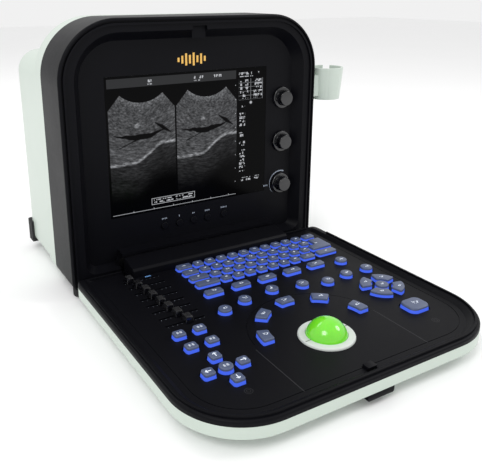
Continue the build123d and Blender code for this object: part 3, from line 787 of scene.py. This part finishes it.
def addKnobDots():
    for name in ("upper", "middle", "lower"):
        low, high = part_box("knob_" + name)
        centre = (low + high) / 2
        face = high.y - knobDotValues["capDepth"] - knobDotValues["lift"]
        dots = Print()
        for number in range(knobDotValues["dots"]):
            turn = 2 * math.pi * (number + 0.3) / knobDotValues["dots"]
            x = centre.x + knobDotValues["radius"] * math.cos(turn)
            z = centre.z + knobDotValues["radius"] * math.sin(turn)
            ring = []
            for side in range(knobDotValues["sides"]):
                angle = 2 * math.pi * side / knobDotValues["sides"]
                out = knobDotValues["dot"]
                ring.append((x + out * math.cos(angle), face, z + out * math.sin(angle)))
            dots.shape(ring)
        dots.finish("knob_dots_" + name, whitePrint, "knob_" + name, "black_plastic")


# places on the deck are in millimetres
deckMarkValues = {
    "deck": 27.4 * mm, "lift": 0.04 * mm, "labelX": -95.0, "labelY": -34.2, "labelStep": 1.9,
    "firstY": -38.0, "pitch": 15.6, "slideX": -101.8, "sliders": 8, "tickStep": 5, "tickBelow": 2.6 * mm,
    "screws": ((-109, -274), (114, -273)), "screwRings": (3.6, 1.8), "screwSteps": 24,
    "seamX": 72.5, "seamShift": 2.5, "seamFrom": -226, "seamTo": -298,
}


def addDeckMarks():
    level = deckMarkValues["deck"] + deckMarkValues["lift"]
    label = Print()
    for letter in range(4):
        x = (deckMarkValues["labelX"] + deckMarkValues["labelStep"] * letter) * mm
        label.bar((x, deckMarkValues["labelY"] * mm, level), right, back, 1.3 * mm, 2.2 * mm)
    label.finish("slider_label", bluePrint, "keyboard_lid", "white_plastic")
    ticks = Print()
    for number in range(deckMarkValues["sliders"]):
        y = (deckMarkValues["firstY"] - deckMarkValues["pitch"] * number) * mm
        for step in range(-4, 5):
            x = (deckMarkValues["slideX"] + deckMarkValues["tickStep"] * step) * mm
            ticks.bar((x, y - deckMarkValues["tickBelow"], level), back, right * -1, 1.0 * mm, 0.3 * mm)
    ticks.finish("slider_ticks", palePrint, "keyboard_lid", "black_plastic")
    # screw rings and seam lines, drawn in the painted highlight grey
    screws = Print()
    for x, y in deckMarkValues["screws"]:
        for radius in deckMarkValues["screwRings"]:
            for step in range(deckMarkValues["screwSteps"]):
                angle = 2 * math.pi * step / deckMarkValues["screwSteps"]
                out = radius * mm
                spot = Vector((x * mm + out * math.cos(angle), y * mm + out * math.sin(angle), level))
                along = Vector((-math.sin(angle), math.cos(angle), 0))
                screws.bar(spot, along, along.cross(up) * -1, radius * mm * 0.27, 0.35 * mm)
    for side in (-1, 1):
        middle = (deckMarkValues["seamFrom"] + deckMarkValues["seamTo"]) / 2
        long = deckMarkValues["seamFrom"] - deckMarkValues["seamTo"]
        x = (side * deckMarkValues["seamX"] + deckMarkValues["seamShift"]) * mm
        screws.bar((x, middle * mm, level), back, right * -1, long * mm, 0.6 * mm)
    screws.finish("deck_screws", seamHighlightPlastic, "keyboard_lid", "black_plastic")


ringValues = {"turns": (3, 184), "reach": 23.6 * mm, "long": 6.5 * mm, "wide": 0.7 * mm, "lift": 0.05 * mm}


def addRingNotches():
    low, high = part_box("trackball_ring")
    middle = (low + high) / 2
    # painted shade: flat dark bars on the ring top stand in for the shade inside two notches
    notches = Print()
    for turn in ringValues["turns"]:
        angle = math.radians(turn)
        along = Vector((math.cos(angle), math.sin(angle), 0))
        across = Vector((-along.y, along.x, 0))
        spot = Vector((middle.x, middle.y, high.z + ringValues["lift"])) + along * ringValues["reach"]
        notches.bar(spot, along, across, ringValues["long"], ringValues["wide"])
    notches.finish("ring_notches", darkPlastic, "keyboard_lid", "ring_plastic")


addRingNotches()
addPadMarks()
addPanelMarks()
addKnobDots()
addDeckMarks()
print("marks printed")


cameraValues = {
    "place": (-0.3512, -0.6415, 0.3423), "azimuth": -30.64, "down": 16.5, "roll": 0.08,
    "focal": 621.2, "imageWide": 482, "sensor": 36.0, "shiftX": 0.0384, "shiftY": -0.12,
}


# each light's place, target, size and power
lightValues = {
    "key": ((-1.3, -1.0, 1.9), (0, -0.1, 0.1), 1.0, 17),
    "fill": ((1.5, -0.8, 1.4), (0, -0.1, 0.1), 0.8, 9),
    "rear": ((-0.4, 1.3, 1.7), (0, 0.1, 0.2), 1.0, 7),
}
stageValues = {"floorHalf": 6, "skyStrength": 0.88}


def addCamera():
    data = bpy.data.cameras.new("camera")
    camera = bpy.data.objects.new("camera", data)
    bpy.context.scene.collection.objects.link(camera)
    data.sensor_width = cameraValues["sensor"]
    data.lens = cameraValues["sensor"] * cameraValues["focal"] / cameraValues["imageWide"]
    data.shift_x = cameraValues["shiftX"]
    data.shift_y = cameraValues["shiftY"]
    data.clip_start = 0.01
    camera.location = cameraValues["place"]
    turns = (90 - cameraValues["down"], cameraValues["roll"], cameraValues["azimuth"])
    camera.rotation_euler = Euler([math.radians(turn) for turn in turns])
    bpy.context.scene.camera = camera


def addLight(name, place, target, size, power):
    data = bpy.data.lights.new(name, "AREA")
    data.shape = "DISK"
    data.size = size
    data.energy = power
    light = bpy.data.objects.new(name, data)
    bpy.context.scene.collection.objects.link(light)
    light.location = place
    light.rotation_euler = (Vector(target) - Vector(place)).to_track_quat("-Z", "Y").to_euler()


def addStage():
    half = stageValues["floorHalf"]
    spots = [(-half, -half, 0), (half, -half, 0), (half, half, 0), (-half, half, 0)]
    floor = addMesh("floor", spots, [(0, 1, 2, 3)], None)
    shader = Shader("floorPaper")
    vector, x, y, z = shader.place()
    cloud = shader.noise(vector, 3.0)
    shader.set(Base_Color=shader.mix(cloud, (0.93, 0.93, 0.93), (0.95, 0.95, 0.95)), Roughness=0.9)
    paint(floor, shader.material)
    world = bpy.data.worlds.new("studio")
    world.use_nodes = True
    world.node_tree.nodes["Background"].inputs[0].default_value = (1, 1, 1, 1)
    world.node_tree.nodes["Background"].inputs[1].default_value = stageValues["skyStrength"]
    bpy.context.scene.world = world


bpy.context.scene.view_settings.view_transform = "Standard"
addCamera()
addStage()
for name, (place, target, size, power) in lightValues.items():
    addLight(name, place, target, size, power)
print("studio set")
